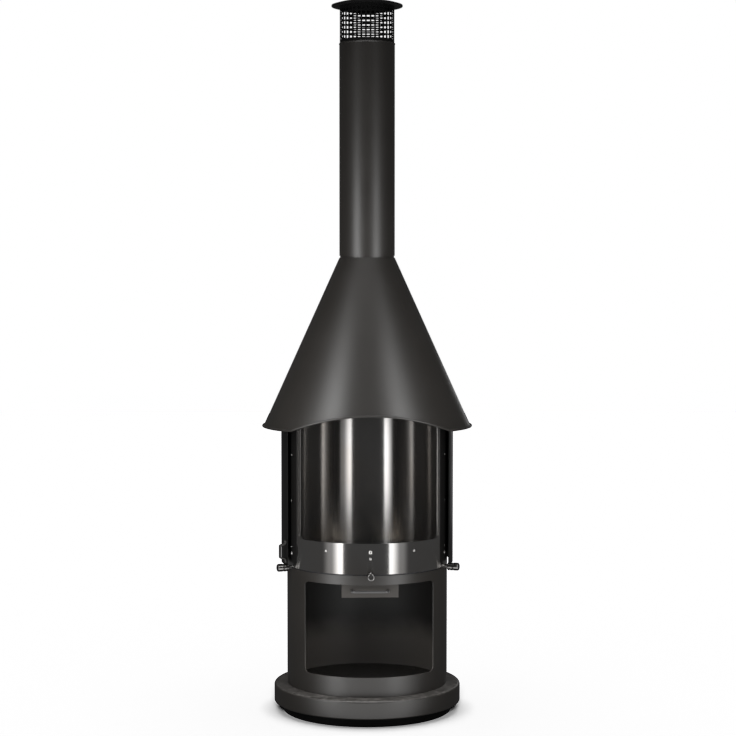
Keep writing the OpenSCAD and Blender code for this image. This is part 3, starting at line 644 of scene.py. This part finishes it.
# %% Plinth and base pan
pan_shoulder_r = 8 * MM
pan_shoulder_end = 86
pan_shoulder_steps = 12
pan_heel_r = 4 * MM
pan_rise = 2 * MM
pan_flange_w = 60 * MM
pan_land_w = 50 * MM
pan_wall_top = pan_high.z - pan_rise
pan_outline = [(plinth_high.x - pan_flange_w, pan_low.z)]
pan_outline += arc(pan_high.x - pan_heel_r, pan_low.z + pan_heel_r, pan_heel_r, -90, 0)
pan_outline += arc(
    pan_high.x - pan_shoulder_r, pan_wall_top - pan_shoulder_r, pan_shoulder_r,
    0, pan_shoulder_end, pan_shoulder_steps)
pan_outline += [(store_r, pan_high.z), (store_r - pan_land_w, pan_high.z)]
pan_body = spun("base_pan_pressing", pan_outline)
thicken_and_soften(pan_body, base_sheet, 0.6 * MM)
stand_in(pan_body, "base_pan", pan_paint_lit_top)

plinth_ring = spun("plinth_ring", [(plinth_high.x, plinth_low.z), (plinth_high.x, plinth_high.z)])
thicken_and_soften(plinth_ring, base_sheet, 1 * MM)
stand_in(plinth_ring, "plinth", plinth_paint_painted_shade)

# %% [markdown]
# ## Wood store
# One rolled sheet with a wide opening. A boolean cut through a tube would leave thin, crooked
# faces along the opening, so the opening is left out of the flat blank instead. Its cut edge
# catches the light all round, so the edge is broken by a small bevel. A ledge inside, under the
# seam, carries the hearth.

# %% Wood store
opening_w = 456 * MM
opening_h = 326 * MM
opening_sill = 70 * MM
opening_corner_r = 15 * MM
ledge_w = 24 * MM
ledge_t = 6 * MM
ledge_drop = 14 * MM
store_wall = wall_with_window(
    "wood_store_wall", store_r, opening_w, opening_corner_r, store_low.z + opening_sill,
    store_low.z + opening_sill + opening_h, store_low.z, store_high.z)
thicken_and_soften(store_wall, store_sheet, 0.6 * MM)
stand_in(store_wall, "wood_store", store_paint_shaded_inside)

ledge_r = store_r - store_sheet
ledge_top = store_high.z - ledge_drop
store_ledge = spun("wood_store_ledge", [
    (ledge_r - ledge_w, ledge_top - ledge_t), (ledge_r, ledge_top - ledge_t),
    (ledge_r, ledge_top), (ledge_r - ledge_w, ledge_top)], closed=True)
thicken_and_soften(store_ledge, 0, 0.8 * MM)
goes_with(store_ledge, "wood_store")

# %% [markdown]
# ## Fire chamber
# The chamber is the brightest piece, and its inside is a concave mirror. Any flat facet there
# would break the reflections into strips, so its columns stand one roll step apart, as on the
# other rolled sheets, and its shading follows the round wall. Behind the window's edge lies a
# border strip, seen as a second line beside the edge.

# %% Fire chamber
window_w = 502 * MM
window_corner_r = 18 * MM
band_h = 109 * MM
crown_h = 36 * MM
border_show = 7 * MM
border_cover = 12 * MM
window_sill = shell_low.z + band_h
window_head = shell_high.z - crown_h
shell_wall = wall_with_window(
    "fire_chamber_wall", shell_r, window_w, window_corner_r, window_sill, window_head,
    shell_low.z, shell_high.z)
thicken_and_soften(shell_wall, shell_sheet, 0.4 * MM)
stand_in(shell_wall, "firebox_shell")

border_r = -border_low.y
border_reach = asin((window_w / 2 + border_cover) / border_r)
window_border = wall_with_window(
    "window_border", border_r, window_w - 2 * border_show, window_corner_r, window_sill,
    window_head, border_low.z, border_high.z, border_reach)
thicken_and_soften(window_border, border_sheet, 0.4 * MM)
stand_in(window_border, "window_frame")

# %% [markdown]
# ## Wind shield
# A thin shell that reaches a little more than half round the chamber and turns on its rollers.
# It could be a tube cut open, but a blank rolled only as far as the shell reaches has two clean
# ends without any cut. The photo shows it blacker than the body, so it has a paint of its own.

# %% Wind shield
shield_sweep = radians(223)
shield_start = pi - shield_sweep / 2
shield_angles = angles_between(shield_start, shield_start + shield_sweep)
shield_wall = rolled(
    "wind_shield_sheet", [(a, [shield_low.z, shield_high.z]) for a in shield_angles],
    lambda z: shield_r)
thicken_and_soften(shield_wall, shield_sheet, 0.35 * MM)
stand_in(shield_wall, "wind_shield", shield_paint)

# %% [markdown]
# ## Hood
# The hood is a cone whose front edge rises in an arch. The arch is where a level cylinder would
# cut the cone, so each column of the blank starts at the height where its own line meets that
# cylinder. The edge is rolled outwards over a wire, which is a rod along the same line.

# %% Hood
arch_w = 558 * MM
arch_rise = 57 * MM
arch_r = ((arch_w / 2) ** 2 + arch_rise ** 2) / (2 * arch_rise)
arch_z = hood_low.z + arch_rise - arch_r
hood_slope = (rim_r - pipe_r) / (hood_high.z - hood_low.z)
arch_side = asin(arch_w / 2 / rim_r)
ROUNDS_TO_SETTLE = 30


def hood_r(z):
    return rim_r - (z - hood_low.z) * hood_slope


def hood_edge(angle):
    """Height of the hood's edge at an angle from the front.

    The cone's radius depends on the height that is looked for, so the height is worked out again
    from its own last value until it settles.
    """
    z = hood_low.z
    if abs(angle) < arch_side:
        for settling in range(ROUNDS_TO_SETTLE):
            z = arch_z + sqrt(arch_r ** 2 - (hood_r(z) * sin(angle)) ** 2)
    return z


hood_angles = angles_between(-pi, -arch_side)[:-1] + angles_between(-arch_side, arch_side)
hood_angles += angles_between(arch_side, pi)[1:]
hood_cone = rolled("hood_cone", [(a, [hood_edge(a), hood_high.z]) for a in hood_angles], hood_r)
thicken_and_soften(hood_cone, hood_sheet, 0.4 * MM)
stand_in(hood_cone, "hood")

hem_wire_r = 3.6 * MM
hem_out = 0.4 * MM
hem_line = []
for hem_angle in hood_angles[:-1]:
    edge_z = hood_edge(hem_angle)
    hem_line.append(on_wall(hem_angle, hood_r(edge_z) + hem_out, edge_z + hem_wire_r))
hood_hem = bent_rod("hood_rolled_edge", hem_line, hem_wire_r, closed=True)
stand_in(hood_hem, "hood_hem")

# %% [markdown]
# ## Flue pipe and rain cap
# The pipe ends below in a narrow shadow line over the hood's neck, and above in a rolled bead.
# The cap is a shallow dome with a turned-down edge. A scaled sphere would have no such edge, so
# both pieces are outlines of lines and arcs, spun about the upright axis.

# %% Flue pipe and rain cap
pipe_gap = 7 * MM
bead_r = 2.6 * MM
bead_start = -60
bead_steps = 8
bead_out = pipe_high.x - pipe_r
pipe_outline = [(pipe_r, pipe_low.z + pipe_gap), (pipe_r, pipe_high.z - 2 * bead_r)]
pipe_outline += arc(
    pipe_r + bead_out - bead_r, pipe_high.z - bead_r, bead_r, bead_start, 90, bead_steps)
pipe_wall = spun("flue_pipe_wall", pipe_outline)
thicken_and_soften(pipe_wall, pipe_sheet, 0.3 * MM)
stand_in(pipe_wall, "flue_pipe")

cap_r = cap_high.x
cap_edge_h = 5 * MM
cap_steps = 24
cap_rise = cap_high.z - cap_low.z - cap_edge_h
cap_ball_r = (cap_r ** 2 + cap_rise ** 2) / (2 * cap_rise)
cap_half = degrees(asin(cap_r / cap_ball_r))
cap_top_z = cap_low.z + cap_edge_h
cap_outline = [(cap_r, cap_low.z)]
cap_outline += arc(
    0, cap_top_z + cap_rise - cap_ball_r, cap_ball_r, 90 - cap_half, 90, cap_steps)
cap_dome = spun("rain_cap_dome", cap_outline)
thicken_and_soften(cap_dome, cap_sheet, 0.5 * MM)
stand_in(cap_dome, "rain_cap")

# %% [markdown]
# ## Drawer front and handles
# The ash drawer's front is a cut plate with broken edges, so a cube at its place and a bevel
# are enough. Its handle is a rod bent into a bow. A rod could be built of cylinders and joints,
# but a curve with a round section follows all its bends in one go.

# %% Drawer front and its handle
front_low, front_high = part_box("drawer_front")
pull_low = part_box("drawer_handle")[0]
bpy.ops.object.select_all(action="DESELECT")
bpy.ops.mesh.primitive_cube_add(
    size=1, location=(front_low + front_high) / 2, scale=front_high - front_low)
drawer_plate = bpy.context.object
drawer_plate.name = "ash_drawer_plate"
bpy.ops.object.transform_apply(location=True, rotation=True, scale=True)
thicken_and_soften(drawer_plate, 0, 0.7 * MM, bevel_steps=3)
stand_in(drawer_plate, "drawer_front", plate_paint)


def bow_line(foot, reach, span, bend_r, along, outwards):
    """A bow's centre line: out from one foot, round a bend, along, and back to the other foot."""
    turns = even_steps(0, pi / 2, CORNER_STEPS)
    half = [(span / 2, 0)]
    half += [(span / 2 - bend_r * (1 - cos(t)), reach - bend_r * (1 - sin(t))) for t in turns]
    line = [(-a, o) for a, o in half] + [(a, o) for a, o in reversed(half)]
    return [foot + along * a + outwards * o for a, o in line]


pull_span = 128 * MM
pull_bar_r = 4.5 * MM
pull_bend_r = 10 * MM
pull_reach = front_low.y - pull_low.y - pull_bar_r
pull_foot = Vector((0, front_low.y, (front_low.z + front_high.z) / 2))
to_the_right = Vector((1, 0, 0))
to_the_front = Vector((0, -1, 0))
pull_line = bow_line(pull_foot, pull_reach, pull_span, pull_bend_r, to_the_right, to_the_front)
drawer_bow = bent_rod("ash_drawer_bow", pull_line, pull_bar_r)
stand_in(drawer_bow, "drawer_handle", bow_paint)

# %% [markdown]
# The wind shield's handle is a flat strip, bent at four places: a foot on the shield, a leg that
# leans out, the grip, and the same again. A curve's section would twist in such bends, so the
# strip is a narrow blank whose rows follow the bent line, and it gets its thickness afterwards.

# %% Wind shield's handle
grip_angle = radians(-72)
grip_w = 16 * MM
grip_t = 4 * MM
grip_h = 80 * MM
grip_reach = 23 * MM
grip_foot = 13 * MM
grip_rise = 8 * MM
grip_lean = grip_reach / 4
grip_bend = 5 * MM
grip_gap = 0.3 * MM
grip_columns = 4
grip_seat = shield_r + grip_gap + grip_t
grip_crest = grip_seat + grip_reach - grip_t


def round_bends(corners, bend, steps=6):
    """A line through corners, each inner one rounded over a length of bend on both its sides."""
    line = [corners[0]]
    for before, corner, after in zip(corners, corners[1:], corners[2:]):
        enter = corner + (before - corner).normalized() * bend
        leave = corner + (after - corner).normalized() * bend
        for t in even_steps(0, 1, steps):
            line.append(enter.lerp(corner, t).lerp(corner.lerp(leave, t), t))
    return line + [corners[-1]]


leg_start = grip_foot - grip_t / 2
leg_end = leg_start + grip_lean
grip_corners = [
    (grip_seat, 0), (grip_seat, leg_start), (grip_crest, leg_end),
    (grip_crest, grip_h - leg_end), (grip_seat, grip_h - leg_start), (grip_seat, grip_h)]
grip_line = round_bends([Vector(corner) for corner in grip_corners], grip_bend)
grip_across = Vector((cos(grip_angle), sin(grip_angle), 0)) * grip_w


def on_grip(column, row):
    """The strip's row follows its bent line, and its column goes across it."""
    radius, height = grip_line[row]
    middle = on_wall(grip_angle, radius, shield_low.z + grip_rise + height)
    return middle + grip_across * (column / grip_columns - 0.5)


grip_strip = blank("wind_shield_grip", grip_columns, len(grip_line) - 1, on_grip)
thicken_and_soften(grip_strip, grip_t, 0.8 * MM)
stand_in(grip_strip, "shield_handle", handle_paint)

# %% [markdown]
# ## Camera
# The photo was taken from 6.7 m away at eye height, a little left of the front, and looking
# slightly down. Its lens is a short telephoto, so upright lines stay nearly parallel.

# %% Camera
PHOTO_SIDE = 736
focal_px = 1850
axis_px = 367.1
camera_distance = 6.70
camera_height = 1.56
camera_angle = radians(2.4)
camera_tilt = radians(2.72)
sensor_mm = 36
camera_data = bpy.data.cameras.new("photo_camera")
camera_data.sensor_width = sensor_mm
camera_data.lens = sensor_mm * focal_px / PHOTO_SIDE
camera = bpy.data.objects.new("photo_camera", camera_data)
bpy.context.scene.collection.objects.link(camera)
camera.location = on_wall(-camera_angle, camera_distance, camera_height)
aside = atan((PHOTO_SIDE / 2 - axis_px) / focal_px)
camera.rotation_euler = (pi / 2 - camera_tilt, 0, -camera_angle - aside)
bpy.context.scene.camera = camera
print("lens", round(camera_data.lens, 1), "mm at", camera_distance, "m")

# %% [markdown]
# ## Softboxes
# In the photo every round wall shows two upright bands of light, hard towards the middle and soft
# outwards. They are reflections of tall softboxes, so plain lamps wouldn't give them. An area
# light whose own strength falls off across its width and over its height gives just that band,
# and its material is a few ramps on the light's own surface. At the floor it keeps FLOOR_SHARE
# of its strength, above the hood only a GLOW, and beyond the band's outer side a SKIRT.

# %% Softboxes
FLOOR_SHARE = 0.7
GLOW = 0.05
SKIRT = 0.12


def softbox(name, centre, width, height, power, target):
    """A rectangular area light that faces a point."""
    light = bpy.data.lights.new(name, "AREA")
    light.shape = "RECTANGLE"
    light.size = width
    light.size_y = height
    light.energy = power
    lamp = bpy.data.objects.new(name, light)
    bpy.context.scene.collection.objects.link(lamp)
    lamp.location = centre
    lamp.rotation_euler = (Vector(target) - Vector(centre)).to_track_quat("-Z", "Y").to_euler()
    lamp.visible_camera = False
    return lamp


def side_softbox(name, inner, outer, height, power, core, pipe_share):
    """A softbox upright between two points on the floor plan, fading outwards and upwards.

    core gives the two shares of its width between which the light fades, and a faint skirt goes
    on beyond. pipe_share adds a patch of light half way up, which the flue pipe reflects.
    """
    middle = (Vector(inner) + Vector(outer)) / 2
    span = Vector(outer) - Vector(inner)
    facing = Vector((-span.y, span.x))
    if facing.dot(-middle) < 0:
        facing = -facing
    z = height / 2
    lamp = softbox(name, (*middle, z), span.length, height, power, (*(middle + facing), z))
    across = lamp.rotation_euler.to_matrix() @ Vector((1, 0, 0))
    outwards_is_u = across.dot(Vector((*span, 0))) > 0
    nodes = Nodes(lamp.data)
    place = nodes.node("ShaderNodeNewGeometry", {}, {}, "Parametric")
    outwards = nodes.split(place, "X") if outwards_is_u else 1 - nodes.split(place, "X")
    upwards = nodes.split(place, "Y")
    near_floor = FLOOR_SHARE + (1 - FLOOR_SHARE) * nodes.ramp(upwards, 0, 0.4)
    upper_fade = (1 - GLOW) * nodes.fade(upwards, 0.4, 0.76) + GLOW * nodes.fade(upwards, 0.7, 1)
    at_the_pipe = pipe_share * nodes.ramp(upwards, 0.42, 0.5) * nodes.fade(upwards, 0.5, 0.64)
    band = (1 - SKIRT) * nodes.fade(outwards, *core) + SKIRT * nodes.fade(outwards, 0.6, 1)
    strength = band * (near_floor * upper_fade + at_the_pipe)
    emission = nodes.node("ShaderNodeEmission", {}, {"Strength": strength})
    nodes.finish_with("ShaderNodeOutputLight", emission)
    return lamp

# %% [markdown]
# ## The studio's lights
# The softboxes stand on two short lines, left and right of the front. The bright steel and the
# dark paint want different lights: a mirror shows a softbox at its full brightness, paint shows
# little of it. So the steel has narrow strips of its own at the same places. Then come a weak rim
# from behind, a softbox overhead, two cards on the floor, because a white floor throws light
# back up, two strong lights for the floor itself, and one for the pan's flat top.

# %% Lights
left_line = ((-0.50, -0.80), (-0.87, -0.50))
right_line = ((0.38, -0.84), (0.77, -0.62))
softbox_h = 3.2
strip_core = (0.05, 0.52)
softbox_core = (0.35, 1)
card_z = 0.004
overhead_z = 5
steel_lights = [
    side_softbox("left_strip", *left_line, softbox_h, 19, strip_core, pipe_share=0),
    side_softbox("right_strip", *right_line, softbox_h, 15, strip_core, pipe_share=0),
]
studio_lights = [
    side_softbox("left_softbox", *left_line, softbox_h, 19, softbox_core, pipe_share=1),
    side_softbox("right_softbox", *right_line, softbox_h, 14, softbox_core, pipe_share=1.1),
    softbox("rim_softbox", (1.3, 2.7, 0.9), 0.5, 1.2, 2.5, target=(0, 0, 0.9)),
    softbox("top_softbox", (-0.1, -1.1, overhead_z), 2.1, 0.9, 36, target=(-0.1, -0.5, 0)),
]
bounce_cards = [
    softbox("near_bounce_card", (0, -0.95, card_z), 2.0, 1.1, 9.5, target=(0, -0.95, 1)),
    softbox("far_bounce_card", (0, -2.4, card_z), 2.4, 1.6, 6, target=(0, -2.4, 1)),
]
floor_lights = [
    softbox("floor_softbox", (-0.28, -6.7, 2.4), 1.2, 0.8, 6000, target=(0, 0, 0)),
    softbox("floor_overhead", (0, 0, 3.5), 4, 4, 1800, target=(0, 0, 0)),
]
shoulder_light = softbox(
    "shoulder_softbox", (0, -1.1, overhead_z), 2.1, 0.7, 80, target=(0, -0.4, 0))
print("area lights", len(bpy.data.lights))

# %% [markdown]
# ## Pale floor
# The photo's floor is nearly white, with a soft shadow close round the base. A plane that only
# catches shadows gives that. The world is white where the camera sees it and dim everywhere
# else, so that it doesn't flatten the dark paint.

# %% World and floor
world = bpy.data.worlds.new("pale_studio")
world_nodes = Nodes(world)
seen = world_nodes.node("ShaderNodeLightPath", {}, {}, "Is Camera Ray")
pale = world_nodes.node("ShaderNodeBackground", {}, {"Color": grey(1.0)})
dim = world_nodes.node("ShaderNodeBackground", {}, {"Color": grey(0.06)})
either = world_nodes.node("ShaderNodeMixShader", {}, {0: seen, 1: dim, 2: pale})
world_nodes.finish_with("ShaderNodeOutputWorld", either)
bpy.context.scene.world = world

floor_side = 30
floor_finish = Finish("pale_floor")
floor_tone = floor_finish.blend(floor_finish.noise(3, 3), grey(0.7), grey(0.74))
floor_material = floor_finish.surface({"Base Color": floor_tone, "Roughness": 0.8})
bpy.ops.object.select_all(action="DESELECT")
bpy.ops.mesh.primitive_plane_add(size=floor_side)
floor = bpy.context.object
floor.name = "floor"
floor.data.materials.append(floor_material)
floor.is_shadow_catcher = True
floor.visible_diffuse = False
floor.visible_glossy = False

# %% [markdown]
# ## Which light falls on what
# In a studio, flags and screens keep a light off what it shouldn't reach. Light linking does the
# same with collections: a light's receivers are what it falls on, and its blockers are what may
# cast a shadow from it. Only the plinth and the pan shade the floor, which keeps its shadow short.

# %% Light linking
def link_lights(lamps, name, pieces, state):
    """Lets lamps light only the pieces (INCLUDE) or everything but the pieces (EXCLUDE)."""
    group = bpy.data.collections.new(name)
    for piece in pieces:
        group.objects.link(piece)
    for link in group.collection_objects:
        link.light_linking.link_state = state
    for lamp in lamps:
        lamp.light_linking.receiver_collection = group


bright_steel = [shell_wall, window_border]
link_lights(
    studio_lights + bounce_cards, "all_but_the_bright_steel", [floor, *bright_steel], "EXCLUDE")
link_lights(steel_lights, "the_bright_steel", bright_steel, "INCLUDE")
link_lights([shoulder_light], "the_pan", [pan_body], "INCLUDE")
link_lights(floor_lights, "the_floor", [floor], "INCLUDE")
low_pieces = bpy.data.collections.new("shading_the_floor")
for piece in (plinth_ring, pan_body):
    low_pieces.objects.link(piece)
for lamp in floor_lights:
    lamp.light_linking.blocker_collection = low_pieces
bpy.context.scene.view_settings.view_transform = "Standard"
bpy.context.scene.view_settings.look = "None"
print("linked lights", [group.name for group in bpy.data.collections])
